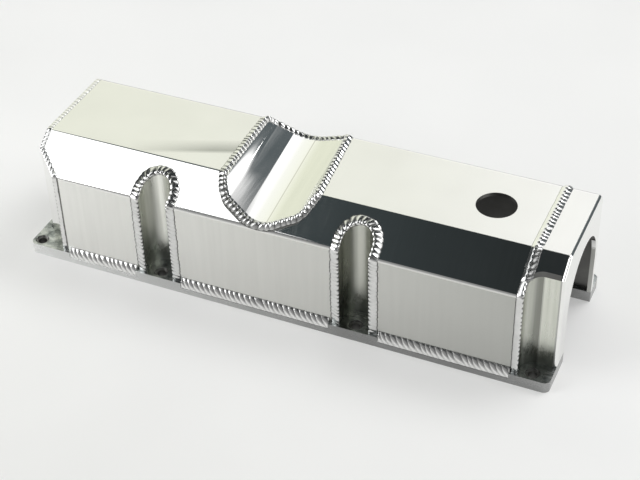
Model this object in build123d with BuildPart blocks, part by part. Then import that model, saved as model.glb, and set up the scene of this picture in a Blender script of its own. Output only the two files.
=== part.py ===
from build123d import *
from math import cos, radians, tan
import os

# Fabricated aluminium valve cover for an overhead-cam engine.
#
# A cut base flange carries a cover folded and rolled from sheet: a front wall with U-shaped bolt
# pockets, a sloping shoulder, a flat top crossed by a saddle, and an upright rear wall. One end is
# closed by a cap with a clipped corner, the other by a plate with an arch that clears the cam drive.
# Raised weld beads run along the seams.
#
# Frame: X along the flange, Y from the front wall to the rear wall, Z up. The origin is at the
# middle of the flange's underside. Millimetres.

# ---------------------------------------------------------------------------------------------
# Driving dimensions
# ---------------------------------------------------------------------------------------------

# Base flange
flange_length = 440.0
flange_width = 134.0
flange_thickness = 9.5
flange_corner_radius = 5.0
front_rail_width = 28.5
rear_rail_width = 23.2
left_bar_width = 28.0
window_corner_radius = 8.0
window_step_radius = 2.5

# Bolts: one row along each long edge of the flange
bolt_hole_diameter = 7.0
bolt_seat_diameter = 11.0
bolt_seat_depth = 1.5
bolt_edge_distance = 7.2
left_bolt_from_left = 7.2
first_pocket_from_left = 118.0
second_pocket_from_left = 285.5
right_bolt_from_right = 14.4

# Sheet and folds of the cover
sheet = 3.2
front_ledge = 4.0
rear_ledge = 16.0
crease_height = 81.4
shoulder_from_front = 35.0
top_height = 103.0
crease_outer_radius = 4.8
rear_outer_radius = 8.0

# Left end cap, with the clipped corner that leaves room for the corner bolt
left_ledge = 9.6
clip_along_length = 19.6
clip_along_width = 16.6
cap_outer_radius = 4.8

# Right end: recess round the corner bolt, and the plate with the arch
corner_recess_radius = 12.0
arch_front_leg = 37.2
arch_centre_height = 47.2
plate_edge_radius = 2.4

# Bolt pockets in the front wall
pocket_radius = 12.7
pocket_centre_from_front = 11.1

# Filler hole in the top
filler_hole_diameter = 31.0
filler_from_right = 68.5
filler_from_front = 71.8

# Saddle across the top: its outline is drawn on the plane of the front wall
saddle_left_from_left = 171.0
saddle_valley_from_left = 207.0
saddle_right_from_left = 237.2
saddle_valley_below_crease = 0.1
saddle_left_wall_angle = 75.0
saddle_left_floor_angle = 17.0
saddle_right_floor_angle = 17.5
saddle_right_wall_angle = 53.0
saddle_left_radius = 16.0
saddle_valley_radius = 45.0
saddle_right_radius = 14.0
saddle_rise_per_mm = 0.063
saddle_drift_per_mm = -0.05

# Weld beads
bead_crown = 2.0
bead_edge_chamfer = 1.1
bead_lip_depth = 4.0
seam_bead_width = 8.6
pocket_bead_width = 7.6
saddle_bead_outside = 4.4
saddle_bead_inside = 3.2
cap_bead_width = 4.2
cap_bead_crown = 0.9
cap_bead_chamfer = 0.5
front_bead_drop = 4.7
front_bead_climb = 3.5
front_bead_crown = 0.9
ledge_bead_leg = 5.0
ledge_bead_crown = 0.8

# ---------------------------------------------------------------------------------------------
# Places worked out from the dimensions
# ---------------------------------------------------------------------------------------------

left = -flange_length / 2
right = flange_length / 2
front = -flange_width / 2
rear = flange_width / 2

front_wall = front + front_ledge
rear_wall = rear - rear_ledge
shoulder = front + shoulder_from_front
cap_face = left + left_ledge
plate_inner = right - sheet
pocket_places = (left + first_pocket_from_left, left + second_pocket_from_left)
pocket_centre = front + pocket_centre_from_front
front_bolt_row = front + bolt_edge_distance
rear_bolt_row = rear - bolt_edge_distance
bolt_places = (left + left_bolt_from_left, *pocket_places, right - right_bolt_from_right)
recess_bolt = bolt_places[-1]
seam = recess_bolt - corner_recess_radius
seam_bead_left = seam - seam_bead_width / 2
seam_bead_right = seam + seam_bead_width / 2
arch_front = front + arch_front_leg
arch_rear = rear - rear_rail_width
arch_centre = (arch_front + arch_rear) / 2
arch_radius = (arch_rear - arch_front) / 2
saddle_valley_height = crease_height - saddle_valley_below_crease

# Cutting shapes run this far past what they cut
overrun = 20.0
reach_up = top_height + overrun


# ---------------------------------------------------------------------------------------------
# Shapes that several pieces share
# ---------------------------------------------------------------------------------------------


def cover_prism(start, end, growth=0.0):
    """The space under the folded sheet between two places along X; growth moves its skin out."""
    with BuildPart() as prism:
        with BuildSketch(Plane.YZ.offset(start)):
            with BuildLine():
                skin = FilletPolyline(
                    (front_wall, -overrun),
                    (front_wall, crease_height),
                    (shoulder, top_height),
                    (rear_wall, top_height),
                    (rear_wall, -overrun),
                    radius=(crease_outer_radius, crease_outer_radius, rear_outer_radius),
                )
                Line(skin @ 1, skin @ 0)
            make_face()
            if growth:
                offset(amount=growth)
        extrude(amount=end - start)
    return prism.part


def left_end_prism(growth=0.0):
    """All that lies to the right of the left end cap's outer face, seen from above."""
    clip_slope = clip_along_width / clip_along_length
    with BuildPart() as prism:
        with BuildSketch():
            with BuildLine():
                Polyline(
                    (cap_face, rear + overrun),
                    (cap_face, front_wall + clip_along_width),
                    (cap_face + clip_along_length + overrun, front_wall - overrun * clip_slope),
                    (right + overrun, front_wall - overrun * clip_slope),
                    (right + overrun, rear + overrun),
                    close=True,
                )
            make_face()
            fillet(vertices().sort_by(Axis.X)[:2].sort_by(Axis.Y)[0], cap_outer_radius)
            if growth:
                offset(amount=growth)
        extrude(amount=reach_up)
    return prism.part


def corner_recess_prism(growth=0.0):
    """The space round the right corner bolt, open to the front and to the right end."""
    left_side = seam - growth
    back = front_bolt_row + corner_recess_radius + growth
    with BuildPart() as prism:
        with BuildSketch():
            with BuildLine():
                FilletPolyline(
                    (left_side, front - overrun),
                    (left_side, back),
                    (right + overrun, back),
                    radius=corner_recess_radius + growth,
                )
                Polyline(
                    (right + overrun, back),
                    (right + overrun, front - overrun),
                    (left_side, front - overrun),
                )
            make_face()
        extrude(amount=reach_up)
    return prism.part


def pocket_prism(place, growth=0.0):
    """The U-shaped space round a bolt of the front row, open to the front."""
    radius = pocket_radius + growth
    with BuildPart() as prism:
        with BuildSketch():
            with Locations((place, pocket_centre)):
                Circle(radius)
            with Locations((place, front - overrun)):
                Rectangle(2 * radius, pocket_centre - front + overrun, align=(Align.CENTER, Align.MIN))
        extrude(amount=reach_up)
    return prism.part


def saddle_prism(growth=0.0):
    """The space above the saddle; it climbs a little and drifts left towards the rear."""
    along = Vector(saddle_drift_per_mm, 1, saddle_rise_per_mm)
    valley = Vector(left + saddle_valley_from_left, front_wall, saddle_valley_height)
    left_run = saddle_valley_from_left - saddle_left_from_left
    right_run = saddle_right_from_left - saddle_valley_from_left
    left_corner = Vector(-left_run, left_run * tan(radians(saddle_left_floor_angle)))
    right_corner = Vector(right_run, right_run * tan(radians(saddle_right_floor_angle)))
    wall_height = top_height + overrun - saddle_valley_height
    left_rim = left_corner + Vector(-wall_height / tan(radians(saddle_left_wall_angle)), wall_height)
    right_rim = right_corner + Vector(wall_height / tan(radians(saddle_right_wall_angle)), wall_height)
    with BuildPart() as prism:
        with BuildSketch(Plane(origin=valley - along * overrun, x_dir=(1, 0, 0), z_dir=-along)):
            with BuildLine():
                trough = FilletPolyline(
                    left_rim,
                    left_corner,
                    (0, 0),
                    right_corner,
                    right_rim,
                    radius=(saddle_left_radius, saddle_valley_radius, saddle_right_radius),
                )
                Line(trough @ 1, trough @ 0)
            make_face()
            if growth:
                offset(amount=growth)
        extrude(amount=-flange_width - overrun)
    return prism.part


def metal_envelope():
    """The cover's outside as one solid body, with every recess open."""
    with BuildPart() as body:
        add(cover_prism(cap_face, right))
        add(left_end_prism(), mode=Mode.INTERSECT)
        add(corner_recess_prism(), mode=Mode.SUBTRACT)
        for place in pocket_places:
            add(pocket_prism(place), mode=Mode.SUBTRACT)
        add(saddle_prism(), mode=Mode.SUBTRACT)
    return body.part


envelope = metal_envelope()
outer_skin = cover_prism(cap_face - overrun, right + overrun)
stand_on_flange = Plane.XY.offset(flange_thickness)


def crest_edges(bead, crown):
    """The long upper edges of a bead: they lie at the crown's height over the cover's skin."""
    slack = crown / 10
    long_edges = bead.edges().filter_by(Axis.X, reverse=True)
    return long_edges.filter_by(lambda edge: abs(outer_skin.distance_to(edge @ 0.5) - crown) < slack)


# ---------------------------------------------------------------------------------------------
# Base flange
# ---------------------------------------------------------------------------------------------

# Stretches of the front edge that carry a weld bead, as pairs of places along X
pocket_bead_reach = pocket_radius + pocket_bead_width
clip_slant = (clip_along_length**2 + clip_along_width**2) ** 0.5
cap_bead_along = (cap_bead_width * clip_slant + cap_bead_crown * clip_along_length) / clip_along_width
front_bead_stretches = {
    "left": (cap_face + clip_along_length + cap_bead_along, pocket_places[0] - pocket_bead_reach),
    "middle": (pocket_places[0] + pocket_bead_reach, pocket_places[1] - pocket_bead_reach),
    "right": (pocket_places[1] + pocket_bead_reach, seam_bead_left),
}

with BuildPart() as base_flange:
    with BuildSketch():
        Rectangle(flange_length, flange_width)
        fillet(vertices(), flange_corner_radius)
        with BuildLine():
            window_front = front + front_rail_width
            window_left = left + left_bar_width
            FilletPolyline(
                (right + overrun, arch_front),
                (seam, arch_front),
                (seam, window_front),
                (window_left, window_front),
                (window_left, arch_rear),
                (right + overrun, arch_rear),
                radius=(window_step_radius, window_step_radius, window_corner_radius, window_corner_radius),
            )
            Line((right + overrun, arch_rear), (right + overrun, arch_front))
        make_face(mode=Mode.SUBTRACT)
    extrude(amount=flange_thickness)
    bolt_centres = [(x, y) for x in bolt_places for y in (front_bolt_row, rear_bolt_row)]
    with BuildSketch(stand_on_flange):
        with Locations(*bolt_centres):
            Circle(bolt_seat_diameter / 2)
    extrude(amount=-bolt_seat_depth, mode=Mode.SUBTRACT)
    with BuildSketch():
        with Locations(*bolt_centres):
            Circle(bolt_hole_diameter / 2)
    extrude(amount=flange_thickness, mode=Mode.SUBTRACT)
    for start, end in front_bead_stretches.values():
        with BuildSketch(Plane.YZ.offset(start)):
            with BuildLine():
                Polyline(
                    (front, flange_thickness - front_bead_drop),
                    (front_wall, flange_thickness),
                    (front, flange_thickness),
                    close=True,
                )
            make_face()
        extrude(amount=end - start, mode=Mode.SUBTRACT)

# ---------------------------------------------------------------------------------------------
# Sheet-metal pieces
# ---------------------------------------------------------------------------------------------

with BuildPart() as cover_shell:
    add(cover_prism(cap_face, seam))
    add(cover_prism(cap_face - overrun, seam + overrun, -sheet), mode=Mode.SUBTRACT)
    add(left_end_prism(-sheet), mode=Mode.INTERSECT)
    add(corner_recess_prism(sheet), mode=Mode.SUBTRACT)
    for place in pocket_places:
        add(pocket_prism(place, sheet), mode=Mode.SUBTRACT)
    add(saddle_prism(sheet), mode=Mode.SUBTRACT)
    with BuildSketch(Plane.XY.offset(top_height - crease_height)):
        with Locations((right - filler_from_right, front + filler_from_front)):
            Circle(filler_hole_diameter / 2)
    extrude(amount=reach_up, mode=Mode.SUBTRACT)
    split(bisect_by=stand_on_flange, keep=Keep.TOP)

with BuildPart() as saddle_panel:
    add(saddle_prism(sheet))
    add(saddle_prism(), mode=Mode.SUBTRACT)
    add(outer_skin, mode=Mode.INTERSECT)


def bolt_pocket(place):
    """A U-shaped strip that walls off a bolt of the front row."""
    with BuildPart() as pocket:
        add(pocket_prism(place, sheet))
        add(pocket_prism(place), mode=Mode.SUBTRACT)
        add(outer_skin, mode=Mode.INTERSECT)
        split(bisect_by=stand_on_flange, keep=Keep.TOP)
    return pocket


bolt_pocket_left, bolt_pocket_right = (bolt_pocket(place) for place in pocket_places)

with BuildPart() as left_end_cap:
    add(cover_prism(cap_face, left + first_pocket_from_left))
    add(left_end_prism(), mode=Mode.INTERSECT)
    add(left_end_prism(-sheet), mode=Mode.SUBTRACT)
    split(bisect_by=stand_on_flange, keep=Keep.TOP)

with BuildPart() as end_hood:
    add(cover_prism(seam, plate_inner))
    add(cover_prism(seam - overrun, plate_inner + overrun, -sheet), mode=Mode.SUBTRACT)
    add(corner_recess_prism(sheet), mode=Mode.SUBTRACT)
    split(bisect_by=stand_on_flange, keep=Keep.TOP)

with BuildPart() as end_corner_panel:
    add(corner_recess_prism(sheet))
    add(corner_recess_prism(), mode=Mode.SUBTRACT)
    add(cover_prism(seam - overrun, plate_inner), mode=Mode.INTERSECT)
    split(bisect_by=stand_on_flange, keep=Keep.TOP)

with BuildPart() as arch_end_plate:
    add(cover_prism(plate_inner, right))
    add(corner_recess_prism(), mode=Mode.SUBTRACT)
    split(bisect_by=stand_on_flange, keep=Keep.TOP)
    end_face = faces().sort_by(Axis.X)[-1]
    ground_edges = end_face.edges().filter_by(lambda edge: edge.center().Z > flange_thickness + sheet)
    fillet(ground_edges, plate_edge_radius)
    with BuildSketch(Plane.YZ.offset(plate_inner)):
        with Locations((arch_centre, arch_centre_height)):
            Circle(arch_radius)
        with Locations((arch_centre, 0)):
            Rectangle(2 * arch_radius, arch_centre_height, align=(Align.CENTER, Align.MIN))
    extrude(amount=sheet, mode=Mode.SUBTRACT)

# ---------------------------------------------------------------------------------------------
# Weld beads
# ---------------------------------------------------------------------------------------------

with BuildPart() as weld_saddle_rim:
    add(saddle_prism(saddle_bead_outside))
    add(saddle_prism(-saddle_bead_inside), mode=Mode.SUBTRACT)
    add(cover_prism(cap_face, right, bead_crown), mode=Mode.INTERSECT)
    add(cover_prism(cap_face, right, -bead_lip_depth), mode=Mode.SUBTRACT)
    add(envelope, mode=Mode.SUBTRACT)
    chamfer(crest_edges(weld_saddle_rim, bead_crown), bead_edge_chamfer)


def pocket_bead(place):
    """The bead up one side of a pocket, round its arch on the shoulder and down the other side."""
    with BuildPart() as bead:
        add(pocket_prism(place, pocket_bead_width))
        add(pocket_prism(place), mode=Mode.SUBTRACT)
        add(cover_prism(cap_face, right, bead_crown), mode=Mode.INTERSECT)
        add(cover_prism(cap_face, right), mode=Mode.SUBTRACT)
        split(bisect_by=stand_on_flange, keep=Keep.TOP)
        chamfer(crest_edges(bead, bead_crown), bead_edge_chamfer)
    return bead


weld_pocket_left, weld_pocket_right = (pocket_bead(place) for place in pocket_places)

with BuildPart() as weld_end_seam:
    add(cover_prism(seam_bead_left, seam_bead_right, bead_crown))
    add(cover_prism(seam_bead_left, seam_bead_right, -bead_lip_depth), mode=Mode.SUBTRACT)
    add(envelope, mode=Mode.SUBTRACT)
    split(bisect_by=stand_on_flange, keep=Keep.TOP)
    chamfer(crest_edges(weld_end_seam, bead_crown), bead_edge_chamfer)

with BuildPart() as weld_left_cap:
    add(cover_prism(cap_face, left + first_pocket_from_left, cap_bead_crown))
    add(left_end_prism(), mode=Mode.INTERSECT)
    add(left_end_prism(-cap_bead_width), mode=Mode.SUBTRACT)
    add(outer_skin, mode=Mode.SUBTRACT)
    split(bisect_by=stand_on_flange, keep=Keep.TOP)
    chamfer(crest_edges(weld_left_cap, cap_bead_crown), cap_bead_chamfer)


def front_bead(start, end):
    """The bead that joins the front wall to the bevelled edge of the flange."""
    toe = Vector(front, flange_thickness - front_bead_drop)
    top = Vector(front_wall, flange_thickness + front_bead_climb)
    slope = (top - toe).normalized()
    crest = (toe + top) / 2 + Vector(-slope.Y, slope.X) * front_bead_crown
    with BuildPart() as bead:
        with BuildSketch(Plane.YZ.offset(start)):
            with BuildLine():
                Polyline(toe, (front_wall, flange_thickness), top)
                ThreePointArc(top, crest, toe)
            make_face()
        extrude(amount=end - start)
    return bead


def ledge_bead(plane, length):
    """A fillet bead on the flange; the plane's x points away from the wall and its y up."""
    crest = ledge_bead_leg / 2 + ledge_bead_crown * cos(radians(45))
    with BuildPart() as bead:
        with BuildSketch(plane):
            with BuildLine():
                Polyline((0, ledge_bead_leg), (0, 0), (ledge_bead_leg, 0))
                ThreePointArc((ledge_bead_leg, 0), (crest, crest), (0, ledge_bead_leg))
            make_face()
        extrude(amount=length)
    return bead


weld_front_left, weld_front_middle, weld_front_right = (
    front_bead(start, end) for start, end in front_bead_stretches.values()
)
rear_start = (cap_face + cap_bead_width, rear_wall, flange_thickness)
rear_end_start = (seam_bead_right, rear_wall, flange_thickness)
left_start = (cap_face, front_wall + clip_along_width + cap_outer_radius, flange_thickness)
rear_foot = Plane(origin=rear_start, x_dir=(0, 1, 0), z_dir=(1, 0, 0))
rear_end_foot = Plane(origin=rear_end_start, x_dir=(0, 1, 0), z_dir=(1, 0, 0))
left_foot = Plane(origin=left_start, x_dir=(-1, 0, 0), z_dir=(0, 1, 0))
weld_rear = ledge_bead(rear_foot, seam_bead_left - rear_start[0])
weld_rear_end = ledge_bead(rear_end_foot, plate_inner - seam_bead_right)
weld_left = ledge_bead(left_foot, rear_wall - left_start[1])

# ---------------------------------------------------------------------------------------------
# Files, one for each piece
# ---------------------------------------------------------------------------------------------

pieces = {
    "base_flange": base_flange,
    "cover_shell": cover_shell,
    "saddle_panel": saddle_panel,
    "bolt_pocket_left": bolt_pocket_left,
    "bolt_pocket_right": bolt_pocket_right,
    "left_end_cap": left_end_cap,
    "end_hood": end_hood,
    "end_corner_panel": end_corner_panel,
    "arch_end_plate": arch_end_plate,
    "weld_saddle_rim": weld_saddle_rim,
    "weld_pocket_left": weld_pocket_left,
    "weld_pocket_right": weld_pocket_right,
    "weld_end_seam": weld_end_seam,
    "weld_left_cap": weld_left_cap,
    "weld_front_left": weld_front_left,
    "weld_front_middle": weld_front_middle,
    "weld_front_right": weld_front_right,
    "weld_rear": weld_rear,
    "weld_rear_end": weld_rear_end,
    "weld_left": weld_left,
}

os.makedirs("parts", exist_ok=True)
for name, piece in pieces.items():
    piece.part.label = name
    export_step(piece.part, f"parts/{name}.step")
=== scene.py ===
"""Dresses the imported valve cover: polished and satin aluminium, rippled weld beads, floor, light and camera.

The CAD nodes keep their shapes and get their finishes here. Only the weld nodes are replaced, by rippled beads.
Bead paths are worked out in millimetres in the part's frame, and scaled to metres when their meshes are made.
"""

import math

import bmesh
import bpy
import numpy as np
from mathutils import Matrix, Vector


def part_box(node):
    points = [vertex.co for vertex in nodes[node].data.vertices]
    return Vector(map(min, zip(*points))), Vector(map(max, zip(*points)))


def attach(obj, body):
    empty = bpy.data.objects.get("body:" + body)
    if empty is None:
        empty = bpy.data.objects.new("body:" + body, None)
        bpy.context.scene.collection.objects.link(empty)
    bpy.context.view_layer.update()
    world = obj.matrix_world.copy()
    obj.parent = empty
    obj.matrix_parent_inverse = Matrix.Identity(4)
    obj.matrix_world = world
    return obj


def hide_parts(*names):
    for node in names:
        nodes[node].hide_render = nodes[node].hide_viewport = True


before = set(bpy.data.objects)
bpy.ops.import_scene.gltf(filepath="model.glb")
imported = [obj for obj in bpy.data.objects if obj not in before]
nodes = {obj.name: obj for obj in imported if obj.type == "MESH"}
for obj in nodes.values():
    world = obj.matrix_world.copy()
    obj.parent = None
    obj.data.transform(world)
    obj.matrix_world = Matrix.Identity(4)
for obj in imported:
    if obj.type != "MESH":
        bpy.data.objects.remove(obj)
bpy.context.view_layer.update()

MM = 0.001

# ---------------------------------------------------------------------------------------------
# The cover's shape, repeated from the part's source, in millimetres
# ---------------------------------------------------------------------------------------------

LEFT, RIGHT, FRONT, REAR = -220.0, 220.0, -67.0, 67.0
PLATE = 9.5
SHEET = 3.2
FRONT_WALL = FRONT + 4.0
REAR_WALL = REAR - 16.0
SHOULDER = FRONT + 35.0
CREASE_Z = 81.4
TOP_Z = 103.0
CREASE_R = 4.8
REAR_R = 8.0
CAP_X = LEFT + 9.6
CLIP_X, CLIP_Y = 19.6, 16.6
CAP_R = 4.8
POCKETS = {"left": LEFT + 118.0, "right": LEFT + 285.5}
POCKET_R = 12.7
POCKET_Y = FRONT + 11.1
RECESS_R = 12.0
RECESS_BOLT = (RIGHT - 14.4, FRONT + 7.2)
SEAM_X = RECESS_BOLT[0] - RECESS_R
SADDLE_VALLEY = (LEFT + 207.0, FRONT_WALL, CREASE_Z - 0.1)
SADDLE_ALONG = np.array([-0.05, 1.0, 0.063]) / np.linalg.norm([-0.05, 1.0, 0.063])
SADDLE_RUNS = (36.0, 30.2)
SADDLE_ANGLES = (75.0, 17.0, 17.5, 53.0)
SADDLE_RADII = (16.0, 45.0, 14.0)
# how far the trough's side walls are followed above its floor, which is past the top of the cover
SADDLE_WALL_RISE = 42.0
BOLT_X = (LEFT + 7.2, POCKETS["left"], POCKETS["right"], RECESS_BOLT[0])
BOLT_Y = (FRONT + 7.2, REAR - 7.2)
SEAT_R = 5.5

X_DIR = np.array([1.0, 0.0, 0.0])


def unit(v):
    v = np.asarray(v, float)
    return v / np.maximum(np.linalg.norm(v, axis=-1, keepdims=True), 1e-12)


def run_along(points):
    """How far along a polyline each of its points is."""
    return np.concatenate([[0], np.cumsum(np.linalg.norm(np.diff(points, axis=0), axis=1))])


def ease(t):
    """A step from 0 to 1 without corners, for t between 0 and 1."""
    return t * t * (3 - 2 * t)


def rounded(points, radii, step=0.25):
    """A polyline with its inner corners rounded by true arcs, as dense points."""
    points = [np.array(p, float) for p in points]
    out = [points[0]]
    for i, radius in enumerate(radii, start=1):
        here, before, after = points[i], points[i - 1], points[i + 1]
        a, b = unit(before - here), unit(after - here)
        half = math.acos(float(np.clip(a @ b, -1, 1))) / 2
        cut = radius / math.tan(half)
        centre = here + unit(a + b) * radius / math.sin(half)
        start, end = here + a * cut - centre, here + b * cut - centre
        sweep = math.pi - 2 * half
        turn = math.copysign(sweep, start[0] * end[1] - start[1] * end[0])
        count = max(4, int(radius * sweep / step))
        for k in range(count + 1):
            angle = turn * k / count
            c, s = math.cos(angle), math.sin(angle)
            out.append(centre + np.array([c * start[0] - s * start[1], s * start[0] + c * start[1]]))
    out.append(points[-1])
    return resample(np.array(out), step)


def resample(points, step, closed=False):
    """The same line with points a nearly equal distance apart."""
    points = np.asarray(points, float)
    if closed:
        points = np.vstack([points, points[:1]])
    gaps = np.linalg.norm(np.diff(points, axis=0), axis=1)
    keep = np.concatenate([[True], gaps > 1e-9])
    points = points[keep]
    run = run_along(points)
    count = max(2, int(round(run[-1] / step)) + 1)
    at = np.linspace(0, run[-1], count)
    if closed:
        at = at[:-1]
    return np.stack([np.interp(at, run, points[:, k]) for k in range(points.shape[1])], axis=1)


class Skin:
    """The folded sheet's outline as a function of the distance q along it, front foot to rear foot."""

    def __init__(self):
        outline = rounded(
            [(FRONT_WALL, PLATE), (FRONT_WALL, CREASE_Z), (SHOULDER, TOP_Z), (REAR_WALL, TOP_Z), (REAR_WALL, PLATE)],
            [CREASE_R, CREASE_R, REAR_R],
            0.1,
        )
        self.q = run_along(outline)
        self.y, self.z = outline[:, 0], outline[:, 1]
        self.ty, self.tz = np.gradient(self.y, self.q), np.gradient(self.z, self.q)
        self.length = self.q[-1]
        top = np.argmin(np.abs(self.y - SHOULDER) + np.abs(self.z - TOP_Z))
        self.q_shoulder = self.q[top]

    def at(self, q):
        """Positions, tangents and outward normals in the y-z plane."""
        y, z = np.interp(q, self.q, self.y), np.interp(q, self.q, self.z)
        ty, tz = np.interp(q, self.q, self.ty), np.interp(q, self.q, self.tz)
        size = np.hypot(ty, tz)
        return y, z, ty / size, tz / size

    def q_of_front_y(self, y):
        """The distance along the outline at which the slant or top first reaches y."""
        rising = self.q < self.q[-1] - (TOP_Z - PLATE) + REAR_R
        return np.interp(y, np.maximum.accumulate(self.y[rising]) + self.q[rising] * 1e-7, self.q[rising])

    def lift(self, q, x):
        """3-D points, along-outline directions and outward normals for places on the unrolled skin."""
        y, z, ty, tz = self.at(q)
        zero = np.zeros_like(y)
        point = np.stack([x, y, z], axis=1)
        along = np.stack([zero, ty, tz], axis=1)
        normal = np.stack([zero, -tz, ty], axis=1)
        return point, along, normal


skin = Skin()


def saddle_axes():
    """The directions across the trough and up out of it."""
    back = -SADDLE_ALONG
    x_dir = unit(X_DIR - back * back[0])
    return x_dir, np.cross(back, x_dir)


def saddle_outline():
    """The trough's outline in its own plane, with the valley's corner at the origin."""
    wall_l, floor_l, floor_r, wall_r = (math.radians(a) for a in SADDLE_ANGLES)
    corner_l = (-SADDLE_RUNS[0], SADDLE_RUNS[0] * math.tan(floor_l))
    corner_r = (SADDLE_RUNS[1], SADDLE_RUNS[1] * math.tan(floor_r))
    rise = SADDLE_WALL_RISE
    rim_l = (corner_l[0] - rise / math.tan(wall_l), corner_l[1] + rise)
    rim_r = (corner_r[0] + rise / math.tan(wall_r), corner_r[1] + rise)
    return rounded([rim_l, corner_l, (0, 0), corner_r, rim_r], SADDLE_RADII, 0.2)


SADDLE_X, SADDLE_UP = saddle_axes()
TROUGH = saddle_outline()
TROUGH_SLOPE = np.gradient(TROUGH[:, 1], TROUGH[:, 0])


def over_saddle(points):
    """How far points are above the saddle's surface, measured up its own plane, and that surface's normal there."""
    local = points - np.array(SADDLE_VALLEY)
    across, up = local @ SADDLE_X, local @ SADDLE_UP
    slope = np.interp(across, TROUGH[:, 0], TROUGH_SLOPE)
    normal = unit(SADDLE_UP[None, :] - slope[:, None] * SADDLE_X[None, :])
    return up - np.interp(across, TROUGH[:, 0], TROUGH[:, 1]), normal


# ---------------------------------------------------------------------------------------------
# Weld paths
# ---------------------------------------------------------------------------------------------


def saddle_path(step):
    """The saddle's rim as a closed line on the unrolled skin, found along rays from its middle."""
    ray_count, nearest, farthest, halvings = 1440, 1.0, 140.0, 40
    y, z, _, _ = skin.at(skin.q)
    on_top = (np.abs(z - TOP_Z) < 1e-6) & (y < -5.0)
    centre = np.array([skin.q[on_top][-1], SADDLE_VALLEY[0] - 3.0])
    angles = np.linspace(0, 2 * np.pi, ray_count + 1)[:-1]
    rays = np.stack([np.cos(angles), np.sin(angles)], axis=1)
    low, high = np.full(ray_count, nearest), np.full(ray_count, farthest)
    for _ in range(halvings):
        middle = (low + high) / 2
        place = centre + rays * middle[:, None]
        points, _, _ = skin.lift(place[:, 0], place[:, 1])
        above, _ = over_saddle(points)
        inside = above > 0
        low, high = np.where(inside, middle, low), np.where(inside, high, middle)
    return resample(centre + rays * low[:, None], step, closed=True)


def pocket_path(centre_x, step):
    """A pocket's edge on the unrolled skin: up one side, round the arch, down the other."""
    angles = np.linspace(-np.pi / 2, np.pi / 2, 181)
    arch_x = centre_x + POCKET_R * np.sin(angles)
    arch_q = skin.q_of_front_y(POCKET_Y + POCKET_R * np.cos(angles))
    line = [(0.0, centre_x - POCKET_R), *zip(arch_q, arch_x), (0.0, centre_x + POCKET_R)]
    return resample(line, step)


def cap_path(step):
    """The left end's edge on the unrolled skin, front foot to rear foot."""
    plan = rounded(
        [(CAP_X + CLIP_X, FRONT_WALL), (CAP_X, FRONT_WALL + CLIP_Y), (CAP_X, REAR_WALL)],
        [CAP_R],
        0.2,
    )
    plan = plan[plan[:, 1] <= REAR_WALL - REAR_R]
    line = [(0.0, CAP_X + CLIP_X)]
    line += [(float(skin.q_of_front_y(y)), x) for x, y in plan[1:]]
    line.append((skin.length, CAP_X))
    return resample(line, step)


# ---------------------------------------------------------------------------------------------
# Bead meshes
# ---------------------------------------------------------------------------------------------


def smooth_noise(count, cell, seed, closed=False):
    """A gentle random line, between about -1 and 1, the same on every run."""
    rng = np.random.default_rng(seed)
    knots = max(4, int(count / cell) + 2)
    values = rng.uniform(-1, 1, knots)
    if closed:
        values[-1] = values[0]
    at = np.linspace(0, knots - 1, count)
    low = np.floor(at).astype(int)
    high = np.minimum(low + 1, knots - 1)
    t = ease(at - low)
    return values[low] * (1 - t) + values[high] * t


def ripple_phase(run, across, pitch, lag, seed, wander=0.35):
    """Which weld ripple each place on a bead belongs to; the ripples are crescents that trail at the bead's sides."""
    drift = smooth_noise(len(run), max(2.0, pitch / max(run[1] - run[0], 1e-6) * 2), seed) * wander
    bow = 1 - (2 * across - 1) ** 2
    return (run / pitch + drift)[:, None] + (lag / pitch) * bow[None, :]


def dimes(phase, sharp=0.75):
    """The height of stacked weld ripples, 0 in the grooves and 1 on the crests."""
    part = phase - np.floor(phase)
    return np.power(np.maximum(np.sin(np.pi * part ** 0.8), 0.0), sharp)


def bead_mesh(name, grid, closed_run):
    """A mesh from a grid of points, one row for each step along a bead; each row is a closed section."""
    rows, columns, _ = grid.shape
    vertices = grid.reshape(-1, 3) * MM
    faces = []
    last = rows if closed_run else rows - 1
    for i in range(last):
        a, b = i * columns, ((i + 1) % rows) * columns
        for j in range(columns):
            k = (j + 1) % columns
            faces.append((a + j, a + k, b + k, b + j))
    if not closed_run:
        faces.append(tuple(reversed(range(columns))))
        faces.append(tuple(range((rows - 1) * columns, rows * columns)))
    mesh = bpy.data.meshes.new(name)
    mesh.from_pydata(vertices.tolist(), [], faces)
    mesh.validate()
    mesh.update()
    return mesh


def face_outwards(mesh):
    """Turns the faces so that they all look outwards."""
    bm = bmesh.new()
    bm.from_mesh(mesh)
    bmesh.ops.recalc_face_normals(bm, faces=bm.faces)
    bm.to_mesh(mesh)
    bm.free()


def finish_piece(name, mesh, material, replaced, painted_shade):
    """Puts a mesh in the scene with its material, in place of a CAD node. The last argument is how dark each point is
    painted, as painted shade.
    """
    obj = bpy.data.objects.new(name, mesh)
    bpy.context.scene.collection.objects.link(obj)
    face_outwards(mesh)
    mesh.polygons.foreach_set("use_smooth", [True] * len(mesh.polygons))
    shown = np.concatenate([painted_shade, np.zeros((len(painted_shade), 1))], axis=1)
    mesh.attributes.new("painted_shade", "FLOAT", "POINT").data.foreach_set("value", shown.ravel().astype(np.float32))
    mesh.materials.append(material)
    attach(obj, "root")
    if replaced:
        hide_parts(replaced)
    return obj


def frames_on_skin(path, closed):
    """For a line on the unrolled skin: its 3-D points, its direction, the skin's normal, and the way to its right."""
    if closed:
        step = np.roll(path, -1, axis=0) - np.roll(path, 1, axis=0)
    else:
        step = np.gradient(path, axis=0)
    step = unit(step)
    points, along, normal = skin.lift(path[:, 0], path[:, 1])
    tangent = unit(step[:, :1] * along + step[:, 1:] * X_DIR)
    side = unit(np.cross(tangent, normal))
    return points, tangent, normal, side


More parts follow.
